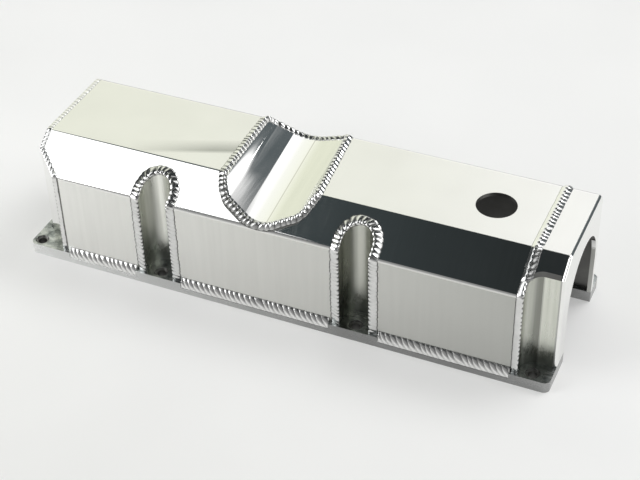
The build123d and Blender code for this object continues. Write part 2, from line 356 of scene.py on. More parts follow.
def groove_painted_shade(crest, t, normal):
    """How dark each point of a bead is painted: painted shade as black lines in the grooves and along the toe, and
    lightly all over the upright parts.

    On the walls only the middle of each groove is painted dark, because the flap disc has flattened the bead's sides.
    """
    upright = np.clip(1.0 - normal[:, 2:3] * 2.5, 0.0, 1.0)
    lines = np.power(1.0 - crest, 1.4 - 0.7 * upright)
    middle = np.exp(-(((t - 0.62) / 0.20) ** 2))[None, :]
    lines = lines * ((1 - upright) * np.sin(np.pi * t)[None, :] ** 0.3 + upright * middle)
    toe = np.exp(-((t / 0.045) ** 2))[None, :] * (0.35 + 0.45 * upright)
    return np.clip(np.maximum(np.maximum(lines, toe), 0.13 * upright), 0.0, 1.0)


def bent_sections(start, knee, end, t):
    """One curved section for each step along a bead, from start to end and pulled towards knee."""
    return (
        start[:, None, :] * ((1 - t) ** 2)[None, :, None]
        + knee[:, None, :] * (2 * t * (1 - t))[None, :, None]
        + end[:, None, :] * (t**2)[None, :, None]
    )


def corner_bead(
    name, path, closed, recess_normal, widths, bulge, pitch, lag, depth, material, node, seed, columns=20, teeth=0.10,
    painted_dark_reflection=None, painted_shade_strength=1.0,
):
    """A bead laid over the edge where the skin meets a recess. Lengths are in millimetres.

    widths are how far it reaches on the skin and down the recess, bulge is how far its section is pulled out, lag
    is how far the ripples' middles trail, depth is how deep the grooves are, and teeth is how far they bite into
    the bead's sides. The optional painted dark reflection gives how dark each point is painted, and the painted
    shade strength scales the painted groove shade.
    """
    points, tangent, normal, side = frames_on_skin(path, closed)
    inner = recess_normal(points)
    out = side * np.where((side * inner).sum(1, keepdims=True) > 0, -1.0, 1.0)
    down = unit(np.cross(inner, tangent))
    down *= np.where((down * normal).sum(1, keepdims=True) > 0, -1.0, 1.0)
    count = len(points)
    run = run_along(points)
    t = np.linspace(0, 1, columns)
    phase = ripple_phase(run, t, pitch, lag, seed)
    if closed:
        whole = round(run[-1] / pitch)
        phase += ((whole - run[-1] / pitch) * run / run[-1])[:, None]
    crest = dimes(phase)
    sway = 1 + 0.05 * smooth_noise(count, 14, seed + 3, closed)[:, None] + teeth * (crest[:, :1] - 1.0)
    start = points + out * widths[0] * sway
    end = points + down * widths[1] * (1 + teeth * (crest[:, -1:] - 1.0))
    knee = points + unit(normal + inner) * bulge
    curve = bent_sections(start, knee, end, t)
    chord = end - start
    lifting = unit(np.cross(chord, tangent))
    lifting *= np.where((lifting * (normal + inner)).sum(1, keepdims=True) < 0, -1.0, 1.0)
    fade = np.sin(np.pi * t) ** 0.6
    dips = (crest - 1.0) * depth * fade[None, :]
    curve = curve + lifting[:, None, :] * dips[:, :, None]
    root_depth = 0.8
    under = points - unit(normal + inner) * root_depth
    grid = np.concatenate([curve, under[:, None, :]], axis=1)
    painted_shade = groove_painted_shade(crest, t, normal) * painted_shade_strength
    # painted dark reflection: the points this function picks are painted dark, most in the ripples' grooves
    if painted_dark_reflection is not None:
        painted_shade = np.maximum(painted_shade, painted_dark_reflection(points)[:, None] * (0.55 + 0.45 * (1 - crest ** 3)))
    return finish_piece(name, bead_mesh(name, grid, closed), material, node, painted_shade)


def saddle_normal(points):
    """The way out of the saddle's surface, under or over each point."""
    return over_saddle(points)[1]


def pocket_normal(centre_x):
    """A function for the way out of a pocket's wall, towards its bolt, at each point."""

    def normal(points):
        x = centre_x - points[:, 0]
        y = np.where(points[:, 1] > POCKET_Y, POCKET_Y - points[:, 1], 0.0)
        return unit(np.stack([x, y, np.zeros_like(x)], axis=1))

    return normal


def cap_normal(points):
    """The way out of the left end at each point: to the left, and round to the front left on the clip."""
    lean = math.atan2(CLIP_X, CLIP_Y)
    bend = np.clip((FRONT_WALL + CLIP_Y + 2.0 - points[:, 1]) / 4.0, 0, 1)
    angle = math.pi + lean * bend
    return np.stack([np.cos(angle), np.sin(angle), np.zeros_like(angle)], axis=1)


def seam_bead(name, step, width, crown, lip, pitch, lag, depth, material, node, seed, columns=22):
    """The bead over the right seam: it laps into the corner recess at the front and lies flat on the sheet after it."""
    q = np.arange(0.0, skin.length, step)
    path = np.stack([q, np.full_like(q, SEAM_X)], axis=1)
    points, _, normal, _ = frames_on_skin(path, False)
    away = points[:, 1] - RECESS_BOLT[1]
    bend = np.clip(RECESS_R**2 - np.maximum(away, 0) ** 2, 0, None)
    recess_x = RECESS_BOLT[0] - np.sqrt(bend) - SEAM_X
    far_off = 1e3
    recess_x = np.where(away > RECESS_R, far_off, recess_x)
    half = width / 2
    hang = np.clip((half - recess_x) / half, 0, 1)
    hang = ease(hang)
    hang = np.where(q > skin.length / 2, 0.0, hang)[:, None]
    start = points - X_DIR * half
    end = points + X_DIR * half * (1 - hang) - normal * lip * hang
    sway = 1 + 0.05 * smooth_noise(len(q), 12, seed + 3)[:, None]
    knee_flat = points + normal * crown * 2.0
    knee_out, knee_up = 5.0, 3.2
    knee_hang = points + X_DIR * knee_out + normal * knee_up
    knee = knee_flat * (1 - hang) + knee_hang * hang
    t = np.linspace(0, 1, columns)
    curve = bent_sections(start, knee, end, t)
    curve = points[:, None, :] + (curve - points[:, None, :]) * np.minimum(sway, 1.0)[:, :, None]
    phase = ripple_phase(q, t, pitch, lag, seed)
    fade = np.sin(np.pi * t) ** 0.6
    lifting = unit(normal + X_DIR * 0.6 * hang)
    # the bead's left third is ground plain, and has no ripples
    rippled = np.clip((t - 0.28) / 0.2, 0.0, 1.0)
    crest = 1.0 - (1.0 - dimes(phase)) * rippled[None, :]
    dips = (crest - 1.0) * depth * fade[None, :]
    curve = curve + lifting[:, None, :] * dips[:, :, None]
    root_depth = 1.2
    under = points - normal * root_depth
    grid = np.concatenate([curve, under[:, None, :]], axis=1)
    # painted shade, full where the normal's height is 0.85 and mostly so on the slant, where it is 0.82: it darkens
    # that side of the bead
    on_slant = np.clip(1.0 - np.abs(normal[:, 2:3] - 0.85) / 0.12, 0.0, 1.0) * (q < skin.length / 2)[:, None]
    painted_dark_side = on_slant * np.clip((t - 0.42) / 0.12, 0.0, 1.0)[None, :] * 0.62
    painted_shade = np.maximum(groove_painted_shade(crest, t, normal), painted_dark_side)
    return finish_piece(name, bead_mesh(name, grid, False), material, node, painted_shade)


def straight_bead(
    name, start, direction, length, top, toe, root, crown, pitch, lag, depth, material, node, seed, columns=14, lean=1.3
):
    """A bead along a straight foot. top, toe and root are offsets from the foot's line, square to the direction.

    lean is by how many ripples the toe is behind the top.
    """
    direction = unit(np.array(direction, float))
    steps_per_ripple = 16
    step = pitch / steps_per_ripple
    run = np.arange(0.0, length + step / 2, step)
    line = np.array(start, float) + run[:, None] * direction
    top, toe, root = (np.array(v, float) for v in (top, toe, root))
    t = np.linspace(0, 1, columns)
    chord = top + (toe - top) * t[:, None]
    out = unit(np.cross(toe - top, direction))
    if out @ ((top + toe) / 2 - root) < 0:
        out = -out
    crest = dimes(ripple_phase(run, t, pitch, lag, seed) - (t * lean)[None, :])
    body = crown * np.power(np.sin(np.pi * t), 0.8)
    fade = np.sin(np.pi * t) ** 0.5
    height = body[None, :] + (crest - 1.0) * depth * fade[None, :]
    curve = line[:, None, :] + chord[None, :, :] + out * height[:, :, None]
    under = line + root
    grid = np.concatenate([curve, under[:, None, :]], axis=1)
    # painted shade: dark lines in the ripples' grooves and a dark band along the bead's upper edge
    painted_shade = np.power(1.0 - crest, 1.2) * np.clip(1.0 - 0.8 * t, 0.0, 1.0)[None, :] * 0.8
    painted_shade = np.maximum(painted_shade, 0.5 * np.exp(-((t / 0.16) ** 2))[None, :])
    return finish_piece(name, bead_mesh(name, grid, False), material, node, painted_shade)


# ---------------------------------------------------------------------------------------------
# Materials
# ---------------------------------------------------------------------------------------------


def grey(v):
    """A neutral colour."""
    return (v, v, v)


class Paint:
    """A node material with a few helpers, so that each finish below reads as a list of its layers."""

    def __init__(self, name):
        self.material = bpy.data.materials.new(name)
        self.material.use_nodes = True
        self.tree = self.material.node_tree
        self.tree.nodes.clear()
        self.out = self.add("ShaderNodeOutputMaterial")
        self.shader = self.add("ShaderNodeBsdfPrincipled")
        self.link(self.shader.outputs[0], self.out.inputs["Surface"])
        self.place = self.add("ShaderNodeTexCoord").outputs["Object"]

    def add(self, kind, **settings):
        node = self.tree.nodes.new(kind)
        for key, value in settings.items():
            setattr(node, key, value)
        return node

    def link(self, a, b):
        self.tree.links.new(a, b)

    def split(self, vector):
        """The three parts of a vector."""
        node = self.add("ShaderNodeSeparateXYZ")
        self.link(vector, node.inputs[0])
        return node.outputs

    def facing(self):
        """The three parts of the face's own normal."""
        return self.split(self.add("ShaderNodeNewGeometry").outputs["True Normal"])

    def scaled(self, scale):
        node = self.add("ShaderNodeMapping")
        node.inputs["Scale"].default_value = scale
        self.link(self.place, node.inputs["Vector"])
        return node.outputs[0]

    def noise(self, scale, detail=3.0, stretch=(1, 1, 1), roughness=0.5):
        node = self.add("ShaderNodeTexNoise")
        node.inputs["Scale"].default_value = scale
        node.inputs["Detail"].default_value = detail
        node.inputs["Roughness"].default_value = roughness
        self.link(self.scaled(stretch), node.inputs["Vector"])
        return node.outputs[0]

    def ramp(self, value, stops):
        node = self.add("ShaderNodeValToRGB")
        elements = node.color_ramp.elements
        while len(elements) < len(stops):
            elements.new(0.5)
        for element, (position, colour) in zip(elements, stops):
            element.position = position
            element.color = (*colour, 1.0)
        self.link(value, node.inputs[0])
        return node.outputs[0]

    def span(self, value, low, high, to_low, to_high):
        node = self.add("ShaderNodeMapRange")
        for key, number in (("From Min", low), ("From Max", high), ("To Min", to_low), ("To Max", to_high)):
            node.inputs[key].default_value = number
        self.link(value, node.inputs["Value"])
        return node.outputs[0]

    def maths(self, kind, a, b):
        node = self.add("ShaderNodeMath", operation=kind)
        for socket, value in zip(node.inputs, (a, b)):
            if hasattr(value, "node"):
                self.link(value, socket)
            else:
                socket.default_value = value
        return node.outputs[0]

    def mix(self, factor, a, b):
        node = self.add("ShaderNodeMix", data_type="RGBA")
        for key, value in ((0, factor), (6, a), (7, b)):
            if hasattr(value, "node"):
                self.link(value, node.inputs[key])
            elif key:
                node.inputs[key].default_value = (*value, 1.0)
            else:
                node.inputs[key].default_value = value
        return node.outputs[2]

    def blend(self, kind, a, b):
        node = self.add("ShaderNodeMix", data_type="RGBA", blend_type=kind)
        node.inputs[0].default_value = 1.0
        self.link(a, node.inputs[6])
        self.link(b, node.inputs[7])
        return node.outputs[2]

    def bump(self, height, strength, distance, onto=None):
        node = self.add("ShaderNodeBump")
        node.inputs["Strength"].default_value = strength
        node.inputs["Distance"].default_value = distance
        self.link(height, node.inputs["Height"])
        if onto is not None:
            self.link(onto, node.inputs["Normal"])
        return node.outputs[0]

    def set(self, **sockets):
        for name, value in sockets.items():
            socket = self.shader.inputs[name.replace("_", " ")]
            if hasattr(value, "node"):
                self.link(value, socket)
            else:
                socket.default_value = value
        return self.material


def sheet_finish_and_painted_shade():
    """Polished sheet: mirror-bright on the slant, satin on the upright walls, a little hazy on the top.

    The front wall's satin has painted shade that darkens it to the right, and the top has a painted dark reflection, a
    soft band on the left of the saddle.
    """
    paint = Paint("polished_sheet_finish_and_painted_shade")
    normal_x, normal_y, normal_z = paint.facing()
    x, y, _ = paint.split(paint.place)
    facing_front = paint.span(normal_y, -0.97, -0.99, 0.0, 1.0)
    facing_up = paint.span(normal_z, 0.97, 0.99, 0.0, 1.0)
    facing_rear = paint.span(normal_y, 0.97, 0.99, 0.0, 1.0)
    facing_left = paint.span(normal_x, -0.97, -0.99, 0.0, 1.0)
    unseen = paint.maths("MAXIMUM", facing_rear, facing_left)
    upright = paint.maths("MAXIMUM", facing_front, unseen)
    streak = paint.noise(260.0, 4.0, (1.0, 0.08, 0.05))
    cloud = paint.noise(22.0, 3.0)
    haze = paint.maths("MAXIMUM", paint.maths("MULTIPLY", upright, 0.30), paint.maths("MULTIPLY", facing_up, 0.12))
    rough = paint.maths("ADD", haze, paint.span(cloud, 0.3, 0.7, 0.035, 0.075))
    rough = paint.maths("ADD", rough, paint.span(streak, 0.3, 0.7, -0.015, 0.02))
    mirror = paint.ramp(cloud, [(0.3, (0.90, 0.90, 0.88)), (0.7, (0.93, 0.93, 0.915))])
    hazy = paint.ramp(cloud, [(0.3, (0.79, 0.79, 0.765)), (0.7, (0.83, 0.83, 0.805))])
    # painted shade: the front wall's satin colour darkens from the left end towards the seam
    painted_shade_along_x = paint.span(x, LEFT * MM, SEAM_X * MM, 0.0, 1.0)
    satin = paint.ramp(painted_shade_along_x, [(0.0, (0.90, 0.90, 0.87)), (0.5, (0.72, 0.72, 0.69)), (1.0, (0.50, 0.505, 0.48))])
    satin = paint.mix(paint.span(streak, 0.25, 0.75, 0.0, 0.12), satin, (0.45, 0.45, 0.43))
    # painted reflection: a soft dark band along the top's front edge, left of the saddle, mixed into the hazy colour
    lean = paint.maths("MULTIPLY", paint.maths("ADD", x, 0.125), 0.37)
    off_band = paint.maths("SUBTRACT", y, paint.maths("ADD", lean, (SHOULDER + 4.0) * MM))
    profile = [(0.0, grey(0.0)), (0.22, grey(1.0)), (0.40, grey(0.8)), (1.0, grey(0.0))]
    band = paint.ramp(paint.span(off_band, -0.006, 0.014, 0.0, 1.0), profile)
    near_saddle = paint.span(x, -0.140, -0.075, 0.0, 0.9)
    left_of_it = paint.span(x, -0.030, -0.024, 1.0, 0.0)
    painted_reflection_band = paint.maths("MULTIPLY", paint.maths("MULTIPLY", band, near_saddle), left_of_it)
    hazy = paint.mix(painted_reflection_band, hazy, (0.40, 0.405, 0.385))
    colour = paint.mix(facing_front, paint.mix(facing_up, mirror, hazy), satin)
    brushing = paint.noise(60.0, 4.0, (0.25, 0.25, 1.0))
    brushed = paint.ramp(brushing, [(0.3, (0.50, 0.505, 0.49)), (0.7, (0.66, 0.665, 0.645))])
    colour = paint.mix(unseen, colour, brushed)
    wave = paint.bump(paint.noise(9.0, 1.5), 0.10, 0.004)
    fine = paint.bump(streak, 0.035, 0.0004, wave)
    return paint.set(Base_Color=colour, Metallic=1.0, Roughness=rough, Normal=fine)


def recess_finish_and_painted_light(name, painted_reflections):
    """A strip round a bolt, where the polishing wheel barely reaches: dull, with drawn vertical streaks. Painted shade
    darkens it to the right and at its foot.

    The last argument gives the painted highlights and painted shade across the strip, as it turns from facing left to
    facing right.
    """
    paint = Paint(name)
    streak = paint.noise(190.0, 4.0, (1.0, 1.0, 0.04))
    cloud = paint.noise(40.0, 3.0)
    colour = paint.ramp(streak, [(0.3, (0.74, 0.755, 0.71)), (0.5, (0.90, 0.91, 0.865)), (0.7, (1.0, 1.0, 0.97))])
    x, _, z = paint.split(paint.place)
    # painted shade: the strip's colour darkens from the left pocket towards the right end
    painted_shade_along_x = paint.span(x, POCKETS["left"] * MM, RIGHT * MM, 0.0, 1.0)
    painted_shade_to_right = paint.ramp(painted_shade_along_x, [(0.0, (1.0, 1.0, 0.98)), (0.42, (0.66, 0.665, 0.63)), (1.0, (0.47, 0.475, 0.45))])
    colour = paint.blend("MULTIPLY", colour, painted_shade_to_right)
    # painted reflections: the strip is painted brighter or darker by which way its face looks
    turn = paint.span(paint.facing()[0], -1.0, 1.0, 0.0, 1.0)
    colour = paint.blend("MULTIPLY", colour, paint.ramp(turn, painted_reflections))
    # painted shade: the strip is painted darker towards its foot, below a scribbled edge
    scribble = paint.span(paint.noise(420.0, 4.0, (1.0, 1.0, 0.5), 0.7), 0.4, 0.6, -0.004, 0.004)
    foot = paint.span(paint.maths("ADD", z, scribble), (PLATE + 9) * MM, (PLATE + 17) * MM, 0.0, 1.0)
    colour = paint.blend("MULTIPLY", colour, paint.ramp(foot, [(0.0, (0.52, 0.53, 0.51)), (1.0, grey(1.0))]))
    rough = paint.maths("ADD", paint.span(cloud, 0.3, 0.7, 0.26, 0.36), paint.span(streak, 0.3, 0.7, -0.05, 0.05))
    return paint.set(Base_Color=colour, Metallic=1.0, Roughness=rough, Normal=paint.bump(streak, 0.10, 0.0005))


def saddle_finish_and_painted_shade():
    """The trough: mirror-bright, with its bend line, and buffing haze along the slope on its right, with a painted
    shade band near the right rim.
    """
    paint = Paint("saddle_finish_and_painted_shade")
    x, y, _ = paint.split(paint.place)
    drift = paint.maths("MULTIPLY", paint.maths("SUBTRACT", y, FRONT_WALL * MM), 0.05)
    across = paint.maths("ADD", paint.maths("SUBTRACT", x, SADDLE_VALLEY[0] * MM), drift)
    across = paint.span(across, -0.040, 0.040, 0.0, 1.0)
    base = (0.93, 0.93, 0.92)
    haze = (0.80, 0.805, 0.755)
    bend_line = [(0.560, base), (0.568, (0.55, 0.54, 0.50)), (0.576, (0.90, 0.90, 0.87))]
    # painted shade: a darker band near the trough's right rim, at 0.93
    slope = [(0.66, haze), (0.86, haze), (0.93, (0.66, 0.69, 0.65)), (1.0, (0.74, 0.76, 0.73))]
    colour = paint.ramp(across, [(0.0, base), *bend_line, *slope])
    streak = paint.noise(150.0, 4.0, (1.0, 0.06, 0.3))
    cloud = paint.noise(22.0, 3.0)
    right = paint.span(across, 0.55, 0.70, 0.0, 0.16)
    streaked = paint.maths("MULTIPLY", right, paint.span(streak, 0.35, 0.65, 0.0, 1.0))
    colour = paint.mix(streaked, colour, (0.55, 0.58, 0.54))
    rough = paint.maths("ADD", paint.span(cloud, 0.3, 0.7, 0.03, 0.06), paint.span(across, 0.52, 0.70, 0.0, 0.10))
    rough = paint.maths("ADD", rough, paint.span(streak, 0.3, 0.7, -0.012, 0.02))
    wave = paint.bump(paint.noise(9.0, 1.5), 0.06, 0.004)
    return paint.set(Base_Color=colour, Metallic=1.0, Roughness=rough, Normal=paint.bump(streak, 0.03, 0.0004, wave))


def plate_finish_and_painted_shade():
    """Flange plate: a machined edge with cutter lines, painted darker to the right as painted shade, and a duller,
    stained upper face.
    """
    paint = Paint("flange_plate_finish_and_painted_shade")
    facing_up = paint.span(paint.facing()[2], 0.9, 0.98, 0.0, 1.0)
    lines = paint.noise(420.0, 3.0, (0.15, 1.0, 1.4))
    cloud = paint.noise(30.0, 3.0)
    stain = paint.noise(110.0, 4.0, roughness=0.65)
    rough = paint.maths("ADD", paint.span(cloud, 0.3, 0.7, 0.20, 0.30), paint.span(lines, 0.3, 0.7, -0.03, 0.04))
    edge = paint.ramp(cloud, [(0.3, (0.82, 0.83, 0.82)), (0.7, (0.92, 0.925, 0.92))])
    # painted shade: the machined edge's colour darkens from the left end to the right
    painted_shade_along_x = paint.span(paint.split(paint.place)[0], LEFT * MM, RIGHT * MM, 0.0, 1.0)
    painted_shade_to_right = [(0.0, grey(0.93)), (0.36, grey(0.58)), (0.64, grey(0.34)), (0.85, grey(0.32)), (1.0, grey(0.40))]
    edge = paint.blend("MULTIPLY", edge, paint.ramp(painted_shade_along_x, painted_shade_to_right))
    upper = paint.ramp(stain, [(0.35, (0.17, 0.185, 0.185)), (0.5, (0.36, 0.38, 0.38)), (0.68, (0.60, 0.62, 0.61))])
    normal = paint.bump(lines, 0.12, 0.0005)
    return paint.set(Base_Color=paint.mix(facing_up, edge, upper), Metallic=1.0, Roughness=rough, Normal=normal)


def weld_finish_and_painted_shade():
    """Weld metal: bright on the crests, and painted dark as painted shade, and dull, where the bead's attribute says
    so.
    """
    paint = Paint("weld_finish_and_painted_shade")
    grain = paint.noise(900.0, 4.0)
    cloud = paint.noise(120.0, 3.0)
    painted_shade = paint.add("ShaderNodeAttribute", attribute_name="painted_shade").outputs["Fac"]
    colour = paint.ramp(cloud, [(0.25, (0.80, 0.80, 0.79)), (0.75, (0.93, 0.93, 0.92))])
    # painted shade: the bead's attribute darkens the weld metal nearly to black
    colour = paint.mix(paint.span(painted_shade, 0.0, 0.75, 0.0, 1.0), colour, (0.045, 0.048, 0.046))
    rough = paint.maths("ADD", paint.span(cloud, 0.3, 0.7, 0.10, 0.18), paint.span(grain, 0.3, 0.7, -0.02, 0.03))
    rough = paint.maths("ADD", rough, paint.maths("MULTIPLY", painted_shade, 0.25))
    normal = paint.bump(grain, 0.08, 0.0003)
    return paint.set(Base_Color=colour, Metallic=1.0, Roughness=rough, Normal=normal)


def inside_mill_finish_and_painted_shade():
    """The unpolished underside of the sheet: mill finish, dull, with soft stains, and painted dark grey as painted
    shade for the cover's dark inside.
    """
    paint = Paint("inside_mill_finish_and_painted_shade")
    cloud = paint.noise(35.0, 4.0)
    streak = paint.noise(300.0, 3.0, (0.06, 1.0, 1.0))
    # painted shade: the colour is kept nearly black
    colour = paint.ramp(cloud, [(0.3, (0.13, 0.13, 0.125)), (0.7, (0.21, 0.21, 0.20))])
    rough = paint.maths("ADD", paint.span(cloud, 0.3, 0.7, 0.38, 0.5), paint.span(streak, 0.3, 0.7, -0.05, 0.05))
    return paint.set(Base_Color=colour, Metallic=1.0, Roughness=rough, Normal=paint.bump(streak, 0.15, 0.0004))


# painted highlights and painted shade across a recess, from its faces that look left, at 0, to those that look right,
# at 1
POCKET_PAINTED_REFLECTIONS = [
    (0.0, grey(0.80)), (0.20, grey(0.78)), (0.24, grey(0.50)), (0.29, grey(1.0)),
    (0.64, grey(1.0)), (0.71, grey(0.80)), (0.80, grey(0.64)), (1.0, grey(0.66)),
]
CORNER_PAINTED_REFLECTIONS = [
    (0.0, grey(1.6)), (0.50, grey(1.6)), (0.515, grey(1.2)), (0.55, grey(0.60)),
    (0.70, grey(0.64)), (0.80, grey(1.1)), (1.0, grey(1.2)),
]
SHEET_FINISH_AND_PAINTED_SHADE = sheet_finish_and_painted_shade()
POCKET_FINISH_AND_PAINTED_LIGHT = recess_finish_and_painted_light("pocket_finish_and_painted_light", POCKET_PAINTED_REFLECTIONS)
CORNER_FINISH_AND_PAINTED_LIGHT = recess_finish_and_painted_light("corner_finish_and_painted_light", CORNER_PAINTED_REFLECTIONS)
SADDLE_FINISH_AND_PAINTED_SHADE = saddle_finish_and_painted_shade()
INSIDE_MILL_FINISH_AND_PAINTED_SHADE = inside_mill_finish_and_painted_shade()
PLATE_FINISH_AND_PAINTED_SHADE = plate_finish_and_painted_shade()
WELD_FINISH_AND_PAINTED_SHADE = weld_finish_and_painted_shade()

SLANT_NORMAL = unit(np.array([CREASE_Z - TOP_Z, SHOULDER - FRONT_WALL]))


def depth_in_shell(p):
    """How deep points are under the folded sheet's outer skin."""
    slant = (p[:, 1] - FRONT_WALL) * -SLANT_NORMAL[0] + (CREASE_Z - p[:, 2]) * SLANT_NORMAL[1]
    return np.minimum.reduce([p[:, 1] - FRONT_WALL, REAR_WALL - p[:, 1], TOP_Z - p[:, 2], slant])


def depth_behind_pocket(centre_x):
    """A function for how deep points are behind a pocket's wall."""

    def depth(p):
        return np.hypot(p[:, 0] - centre_x, np.maximum(p[:, 1] - POCKET_Y, 0)) - POCKET_R

    return depth


def depth_behind_recess(p):
    """How deep points are behind the right corner's recess."""
    dx = np.maximum(RECESS_BOLT[0] - p[:, 0], 0)
    dy = np.maximum(p[:, 1] - RECESS_BOLT[1], 0)
    return np.hypot(dx, dy) - RECESS_R


def depth_behind_cap(p):
    """How deep points are behind the left end and its clipped corner."""
    clip = unit(np.array([CLIP_Y, CLIP_X]))
    across = (p[:, 0] - CAP_X) * clip[0] + (p[:, 1] - FRONT_WALL - CLIP_Y) * clip[1]
    return np.minimum(p[:, 0] - CAP_X, across)


def depth_in_holes(p):
    """How deep points are in the bolt holes, on a scale that marks the holes' walls and the seats' floors.

    A few small faces round the holes on the underside are marked too. The seats' walls and the rest are not.
    """
    nearest = np.min([np.hypot(p[:, 0] - x, p[:, 1] - y) for x in BOLT_X for y in BOLT_Y], axis=0)
    return np.where(p[:, 2] < PLATE - 0.05, (SEAT_R + 0.1 - nearest) * SHEET, -1.0)


SHEET_DEPTHS = {
    "base_flange": depth_in_holes,
    "cover_shell": depth_in_shell,
    "end_hood": depth_in_shell,
    "saddle_panel": lambda p: -over_saddle(p)[0],
    "bolt_pocket_left": depth_behind_pocket(POCKETS["left"]),
    "bolt_pocket_right": depth_behind_pocket(POCKETS["right"]),
    "end_corner_panel": depth_behind_recess,
    "left_end_cap": depth_behind_cap,
}


def dull_and_shade_the_inside(node, depth):
    """Gives the mill finish, painted dark as painted shade, to the faces whose middles are deeper than the outer part
    of the sheet.
    """
    outer_part = 0.25
    centres = np.array([face.center for face in node.data.polygons]) / MM
    inside = (depth(centres) > SHEET * outer_part).astype(np.int32)
    node.data.materials.append(INSIDE_MILL_FINISH_AND_PAINTED_SHADE)
    node.data.polygons.foreach_set("material_index", inside)


NODE_FINISHES = {name: WELD_FINISH_AND_PAINTED_SHADE for name in nodes if name.startswith("weld")}
NODE_FINISHES["base_flange"] = PLATE_FINISH_AND_PAINTED_SHADE
NODE_FINISHES["bolt_pocket_left"] = NODE_FINISHES["bolt_pocket_right"] = POCKET_FINISH_AND_PAINTED_LIGHT
NODE_FINISHES["end_corner_panel"] = CORNER_FINISH_AND_PAINTED_LIGHT
NODE_FINISHES["saddle_panel"] = SADDLE_FINISH_AND_PAINTED_SHADE

for name, node in nodes.items():
    node.data.materials.clear()
    node.data.materials.append(NODE_FINISHES.get(name, SHEET_FINISH_AND_PAINTED_SHADE))
    if name in SHEET_DEPTHS:
        dull_and_shade_the_inside(node, SHEET_DEPTHS[name])

# ---------------------------------------------------------------------------------------------
# Weld beads
# ---------------------------------------------------------------------------------------------


def rim_painted_dark_reflection(points):
    """The rim's front left gets a painted dark reflection."""
    darkest = 0.62
    low = np.clip((-30.0 - points[:, 1]) / 10.0, 0.0, 1.0)
    left = np.clip((-2.0 - points[:, 0]) / 14.0, 0.0, 1.0)
    return darkest * low * left


corner_bead(
    "bead_saddle_rim", saddle_path(0.26), True, saddle_normal, widths=(4.6, 4.0), bulge=5.8, pitch=4.2, lag=1.0,
    depth=0.85, material=WELD_FINISH_AND_PAINTED_SHADE, node="weld_saddle_rim", seed=11, teeth=0.14, painted_dark_reflection=rim_painted_dark_reflection,
)
for side, place in POCKETS.items():
    corner_bead(
        f"bead_pocket_{side}", pocket_path(place, 0.26), False, pocket_normal(place), widths=(6.8, 1.8), bulge=5.0,
        pitch=3.9, lag=1.6, depth=0.55, material=WELD_FINISH_AND_PAINTED_SHADE, node=f"weld_pocket_{side}",
        seed=21 if side == "left" else 31, teeth=0.08,
    )
corner_bead(
    "bead_left_cap", cap_path(0.28), False, cap_normal, widths=(4.0, 0.3), bulge=1.3, pitch=3.6, lag=0.8,
    depth=0.22, material=WELD_FINISH_AND_PAINTED_SHADE, node="weld_left_cap", seed=41, columns=14, teeth=0.06, painted_shade_strength=0.45,
)
seam_bead(
    "bead_end_seam", step=0.26, width=8.6, crown=1.7, lip=4.0, pitch=4.3, lag=1.6, depth=0.6, material=WELD_FINISH_AND_PAINTED_SHADE,
    node="weld_end_seam", seed=51,
)

# the front beads' sections, from the flange's front edge at the floor's level
BEVEL_TOP = (0.0, 4.0, PLATE + 3.5)
BEVEL_TOE = (0.0, 0.05, PLATE - 4.7)
BEVEL_ROOT = (0.0, 3.6, PLATE - 1.2)
for name in ("left", "middle", "right"):
    low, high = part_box(f"weld_front_{name}")
    start = (low.x / MM, FRONT, 0.0)
    straight_bead(
        f"bead_front_{name}", start, (1, 0, 0), (high.x - low.x) / MM, BEVEL_TOP, BEVEL_TOE, BEVEL_ROOT, crown=0.9,
        pitch=4.6, lag=0.5, depth=0.42, material=WELD_FINISH_AND_PAINTED_SHADE, node=f"weld_front_{name}", seed=61,
    )
LEDGE_LEG = 5.0
LEDGE_ROOT = 0.6
for name in ("rear", "rear_end"):
    low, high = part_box(f"weld_{name}")
    start = (low.x / MM, REAR_WALL, PLATE)
    straight_bead(
        f"bead_{name}", start, (1, 0, 0), (high.x - low.x) / MM, (0, 0, LEDGE_LEG), (0, LEDGE_LEG, 0),
        (0, -LEDGE_ROOT, -LEDGE_ROOT), crown=0.9, pitch=4.4, lag=0.5, depth=0.6, material=WELD_FINISH_AND_PAINTED_SHADE,
        node=f"weld_{name}", seed=71,
    )
low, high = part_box("weld_left")
straight_bead(
    "bead_left", (CAP_X, low.y / MM, PLATE), (0, 1, 0), (high.y - low.y) / MM, (0, 0, LEDGE_LEG), (-LEDGE_LEG, 0, 0),
    (LEDGE_ROOT, 0, -LEDGE_ROOT), crown=0.9, pitch=4.4, lag=0.5, depth=0.6, material=WELD_FINISH_AND_PAINTED_SHADE, node="weld_left",
    seed=81,
)

# ---------------------------------------------------------------------------------------------
# Smooth shading for the CAD nodes that stay
# ---------------------------------------------------------------------------------------------

for node in nodes.values():
    if not node.hide_render:
        node.data.polygons.foreach_set("use_smooth", [True] * len(node.data.polygons))

# ---------------------------------------------------------------------------------------------
# Floor, light and camera
# ---------------------------------------------------------------------------------------------


